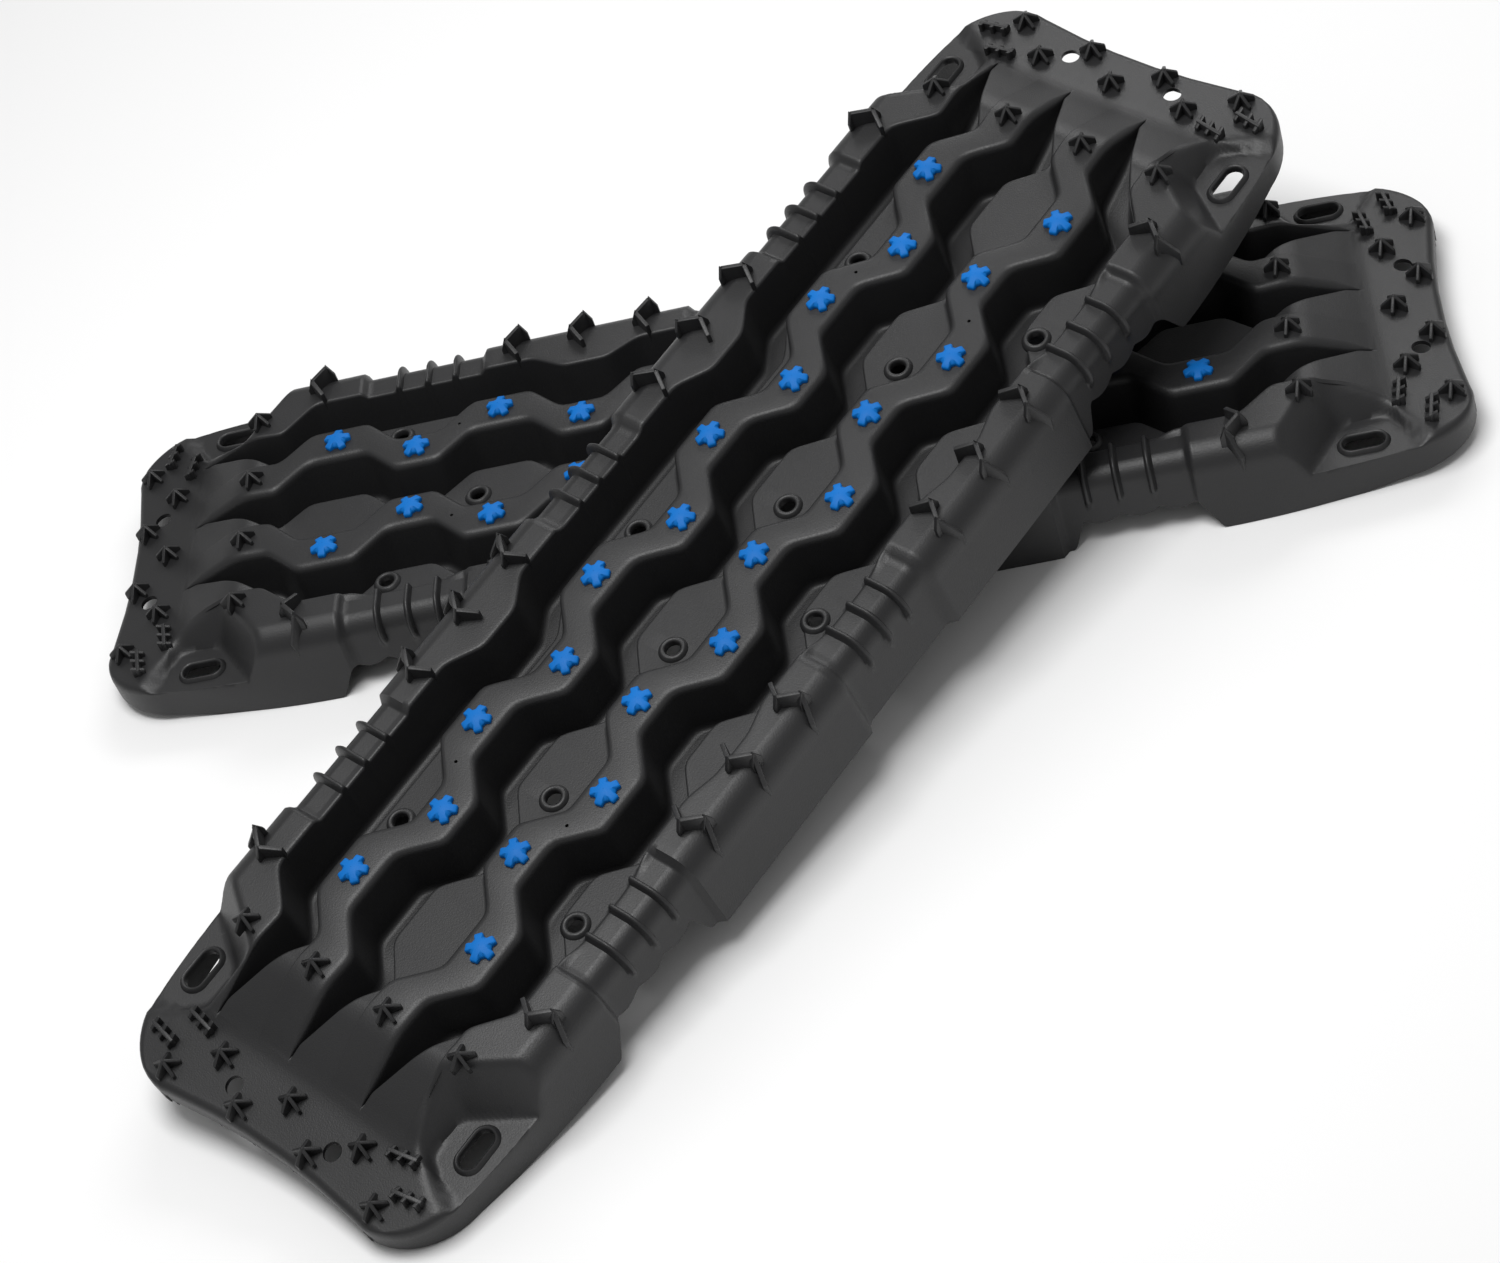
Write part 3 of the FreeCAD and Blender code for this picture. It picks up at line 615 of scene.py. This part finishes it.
def cleats():
    solids = Solids()
    for sx, sy in SIDES:
        for x in RAIL_CLEAT_X:
            rail_cleat(solids, x, sx, sy)
        for x, y, heading in COMB_CLEATS:
            comb_cleat(solids, sx * x * PITCH, sy * y * PITCH, sx * sy * heading)
    for sx in (-1, 1):
        for x, y in STAR_CLEATS:
            star_cleat(solids, sx * x * PITCH, y * PITCH)
    return solids.build("cleats", CLEAT_BEVEL)


def obround(x, y, length, width):
    """Plan points of a long hole with round ends; a round hole has length equal to width."""
    half = (length - width) / 2
    points = []
    for i in range(HOLE_POINTS):
        angle = 2 * math.pi * (i + 0.5) / HOLE_POINTS
        shift = half if math.cos(angle) > 0 else -half
        points.append((x + shift + width / 2 * math.cos(angle), y + width / 2 * math.sin(angle)))
    return points


def rim(x, y, length, width, z, size):
    """A raised lip with a half-round section around a hole."""
    wide, high = size
    rows = []
    # distance from the hole's edge and height, over the lip from the inside out
    profile = [(-0.2, RIM_ROOT), (-0.2, high * 0.55), (wide * 0.18, high * 0.9), (wide * 0.5, high),
               (wide * 0.8, high * 0.82), (wide, high * 0.35), (wide + 1.2, -0.2),
               (wide + 1.2, RIM_ROOT)]
    for reach, height in profile:
        ring = obround(x, y, length + 2 * reach, width + 2 * reach)
        rows += [(px, py, z + height) for px, py in ring]
    return mesh_object("rim", rows, grid_faces(len(profile), HOLE_POINTS, wrap=True))


def rims():
    parts = [rim(x * PITCH, y * PITCH, GROMMET_HOLE, GROMMET_HOLE, PLATFORM_Z, GROMMET_RIM)
             for x, y in GROMMETS]
    slot_x, slot_y = SLOT_PLACE
    parts += [rim(sx * slot_x * PITCH, sy * slot_y * PITCH, *SLOT_SIZE, POCKET_Z, SLOT_RIM)
              for sx, sy in SIDES]
    return parts


def webs(grid):
    """Stiffening walls under the moulding, cut to the cross-section where they stand."""
    parts = []
    row_x = grid[:, 0, 0]
    for place in WEB_X:
        row = grid[np.argmin(abs(row_x - place))]
        x, y, z = row.T
        dy, dz = np.gradient(y), np.gradient(z)
        length = np.hypot(dy, dz) + 1e-9
        y = y + dz / length * WEB_INSET
        z = np.maximum(z - dy / length * WEB_INSET, 0.2)
        rows = []
        for side, foot in ((-1, False), (-1, True), (1, True), (1, False)):
            height = np.full_like(z, 0.1) if foot else z
            rows += list(zip(x + side * WEB_HALF, y, height))
        parts.append(mesh_object("web", rows, grid_faces(4, len(y))))
    return parts


def cutters():
    """Everything that is drilled or punched through the skin, as one object."""
    solids = Solids()
    end_x, end_y = END_HOLE_PLACE
    slot_x, slot_y = SLOT_PLACE
    holes = [(x, y, GROMMET_HOLE, GROMMET_HOLE, *HIGH_CUT) for x, y in GROMMETS]
    holes += [(x, y, DRAIN_HOLE, DRAIN_HOLE, *HIGH_CUT) for x, y in DRAINS]
    holes += [(sx * end_x, sy * end_y, END_HOLE, END_HOLE, *LOW_CUT) for sx, sy in SIDES]
    holes += [(sx * slot_x, sy * slot_y, *SLOT_SIZE, *LOW_CUT) for sx, sy in SIDES]
    for x, y, length, width, low, high in holes:
        outline = obround(x * PITCH, y * PITCH, length, width)
        middle = (low + high) / 2
        solids.prism([(px, py, middle) for px, py in outline], (0, 0, high - low))
    return mesh_object("cutters", solids.vertices, solids.faces)


def moulding():
    """One complete mat shell, in its own frame."""
    grid = skin_grid()
    rows, columns = grid.shape[:2]
    shell = mesh_object("mat_shell", grid.reshape(-1, 3), grid_faces(rows, columns))
    thicken = shell.modifiers.new("wall", "SOLIDIFY")
    thicken.thickness = WALL * MM
    thicken.offset = -1
    punch = cutters()
    cut = shell.modifiers.new("holes", "BOOLEAN")
    cut.operation = "DIFFERENCE"
    cut.solver = "MANIFOLD"
    cut.object = punch
    apply_modifiers(shell)
    bpy.data.objects.remove(punch)
    clamp_to(shell, grid)
    join(shell, [cleats()] + webs(grid) + rims())
    shell.data.shade_smooth()
    shell.data.set_sharp_from_angle(angle=math.radians(48))
    return shell


# ------------------------------------------------------------------ studs
def stud_radius(angle):
    """Plan radius of the head: a round middle with five blunt arms."""
    nearest = (angle + math.pi / ARMS) % (2 * math.pi / ARMS) - math.pi / ARMS
    arm_side = STUD_ARM_HALF / max(abs(math.sin(nearest)), 1e-6)
    arm_end = STUD_R / math.cos(nearest)
    return max(min(arm_side, arm_end), STUD_CORE_R)


def stud():
    """A star head with rounded arms that fall from a raised middle, a shank and its flange."""
    angles = [2 * math.pi * i / STUD_POINTS for i in range(STUD_POINTS)]
    radii = np.array([stud_radius(a) for a in angles])
    radii = sum(np.roll(radii, s) for s in (-1, 0, 1)) / 3
    rows = []
    for inset, height in STUD_SIDE:
        rows += [((r - inset) * math.cos(a), (r - inset) * math.sin(a), TOP_Z + height)
                 for r, a in zip(radii, angles)]
    foot, rise = STUD_CROWN
    for share in STUD_CROWN_SHARES:
        for r, a in zip(radii, angles):
            reach = (r - STUD_EDGE) * share
            height = foot + rise * math.cos(math.pi / 2 * min(1, reach / (STUD_R - STUD_EDGE)))
            rows.append((reach * math.cos(a), reach * math.sin(a), TOP_Z + height))
    head = mesh_object("stud", rows, grid_faces(len(rows) // STUD_POINTS, STUD_POINTS, wrap=True))
    shank = []
    profile = ((SHANK_R, SHANK_TOP), (SHANK_R, -WALL - FLANGE_GAP), (FLANGE_R, -WALL - FLANGE_GAP),
               (FLANGE_R, -WALL - FLANGE_SIDE), (FLANGE_EDGE_R, -WALL - FLANGE_DEPTH),
               (0.05, -WALL - FLANGE_DEPTH))
    for radius, height in profile:
        shank += [(radius * math.cos(a), radius * math.sin(a), TOP_Z + height) for a in angles[::2]]
    body = mesh_object("shank", shank, grid_faces(len(profile), STUD_POINTS // 2, wrap=True))
    join(head, [body])
    work = bmesh.new()
    work.from_mesh(head.data)
    bmesh.ops.recalc_face_normals(work, faces=work.faces)
    work.to_mesh(head.data)
    work.free()
    head.data.shade_smooth()
    head.data.set_sharp_from_angle(angle=math.radians(40))
    return head


def stud_places():
    places = []
    for side in (-1, 1):
        for k in range(-5, 6):
            parity = 0 if k % 2 else 1
            places.append((k * PITCH, side * PITCH * (RIDGE_OUTER[parity] + RIDGE_INNER[parity]) / 2))
    return places


# ------------------------------------------------------------------ materials
def plastic(name, colour, spread, roughness, shine, grain, grain_size):
    """Moulded plastic: slightly uneven colour, and a fine grain in its gloss and its surface."""
    material = bpy.data.materials.new(name)
    material.use_nodes = True
    nodes, links = material.node_tree.nodes, material.node_tree.links
    shader = nodes["Principled BSDF"]
    shader.inputs["Specular IOR Level"].default_value = shine
    place = nodes.new("ShaderNodeTexCoord")

    cloud = nodes.new("ShaderNodeTexNoise")
    cloud.inputs["Scale"].default_value = CLOUD_SCALE
    cloud.inputs["Detail"].default_value = 5.0
    links.new(place.outputs["Object"], cloud.inputs["Vector"])
    tint = nodes.new("ShaderNodeValToRGB")
    tint.color_ramp.elements[0].position = 0.3
    tint.color_ramp.elements[0].color = (*[c * (1 - spread) for c in colour], 1)
    tint.color_ramp.elements[1].position = 0.7
    tint.color_ramp.elements[1].color = (*[min(1, c * (1 + spread)) for c in colour], 1)
    links.new(cloud.outputs["Fac"], tint.inputs["Fac"])
    links.new(tint.outputs["Color"], shader.inputs["Base Color"])

    speck = nodes.new("ShaderNodeTexNoise")
    speck.inputs["Scale"].default_value = grain_size
    speck.inputs["Detail"].default_value = 3.0
    links.new(place.outputs["Object"], speck.inputs["Vector"])
    rough = nodes.new("ShaderNodeMapRange")
    rough.inputs["To Min"].default_value = roughness - GLOSS_SPREAD
    rough.inputs["To Max"].default_value = roughness + GLOSS_SPREAD
    links.new(speck.outputs["Fac"], rough.inputs["Value"])
    links.new(rough.outputs["Result"], shader.inputs["Roughness"])
    bump = nodes.new("ShaderNodeBump")
    bump.inputs["Strength"].default_value = grain
    bump.inputs["Distance"].default_value = BUMP_DISTANCE
    links.new(speck.outputs["Fac"], bump.inputs["Height"])
    links.new(bump.outputs["Normal"], shader.inputs["Normal"])
    return material


def charcoal():
    return plastic("charcoal_plastic", (0.0145, 0.0145, 0.0152), spread=0.15, roughness=0.45,
                   shine=0.45, grain=0.5, grain_size=900.0)


def blue():
    return plastic("blue_plastic", (0.0, 0.135, 0.47), spread=0.08, roughness=0.55,
                   shine=0.2, grain=0.15, grain_size=1200.0)


# ------------------------------------------------------------------ assembly
def placed(name, mesh, place):
    """A copy of a mesh, moved to its place in the row frame."""
    mesh = mesh.copy()
    mesh.transform(place)
    piece = bpy.data.objects.new(name, mesh)
    bpy.context.scene.collection.objects.link(piece)
    return piece


def build_mats():
    shell = moulding()
    head = stud()
    shell.data.materials.clear()
    shell.data.materials.append(charcoal())
    head.data.materials.append(blue())
    for name, place in (("lower", LOWER_PLACE), ("upper", UPPER_PLACE)):
        body = name + "_mat"
        piece = placed(name + "_shell_look", shell.data, place)
        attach(piece, body)
        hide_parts(name + "_mat_shell")
        for number, (x, y) in enumerate(stud_places(), 1):
            turn = Matrix.Rotation(math.radians(STUD_TURN[0 if y > 0 else 1]), 4, "Z")
            spot = place @ Matrix.Translation((x * MM, y * MM, 0)) @ turn
            piece = placed("%s_star_%02d" % (name, number), head.data, spot)
            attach(piece, body)
            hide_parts("%s_stud_%02d" % (name, number))
    bpy.data.objects.remove(shell)
    bpy.data.objects.remove(head)


def floor():
    bpy.ops.mesh.primitive_plane_add(size=FLOOR_SIZE)
    plane = bpy.context.object
    plane.name = "floor"
    plane.location.z = -FLOOR_DROP
    material = bpy.data.materials.new("pale_floor")
    material.use_nodes = True
    shader = material.node_tree.nodes["Principled BSDF"]
    shader.inputs["Base Color"].default_value = (0.86, 0.86, 0.86, 1)
    shader.inputs["Roughness"].default_value = 0.9
    plane.data.materials.append(material)


def area_light(name, place, size, power):
    """A rectangular light, turned towards the middle of the pair."""
    data = bpy.data.lights.new(name, "AREA")
    data.shape = "RECTANGLE"
    data.size, data.size_y = size
    data.energy = power
    light = bpy.data.objects.new(name, data)
    bpy.context.scene.collection.objects.link(light)
    light.location = place
    light.rotation_euler = (-Vector(place)).to_track_quat("-Z", "Y").to_euler()


def lights():
    world = bpy.data.worlds.new("studio")
    bpy.context.scene.world = world
    world.use_nodes = True
    background = world.node_tree.nodes["Background"]
    background.inputs["Color"].default_value = (1, 1, 1, 1)
    background.inputs["Strength"].default_value = WORLD_STRENGTH
    area_light("overhead", place=(0.2, 0.2, 2.4), size=(1.6, 1.0), power=48)
    area_light("far_side", place=(-0.6, -2.4, 1.9), size=(2.2, 0.8), power=25)
    bpy.context.scene.view_settings.view_transform = "Standard"


def camera():
    """High on the +Y side, looking down on the pair, rolled about the line of sight."""
    data = bpy.data.cameras.new("camera")
    data.sensor_width = 36.0
    data.lens = CAMERA_LENS
    data.clip_end = 100
    cam = bpy.data.objects.new("camera", data)
    bpy.context.scene.collection.objects.link(cam)
    right = Vector(CAMERA_RIGHT)
    up = Vector(CAMERA_UP)
    back = right.cross(up)
    basis = Matrix((right, up, back)).transposed().to_4x4()
    place = Vector(CAMERA_PLACE) + right * CAMERA_SHIFT + up * CAMERA_SHIFT
    cam.matrix_world = Matrix.Translation(place) @ basis
    bpy.context.scene.camera = cam


build_mats()
floor()
lights()
camera()
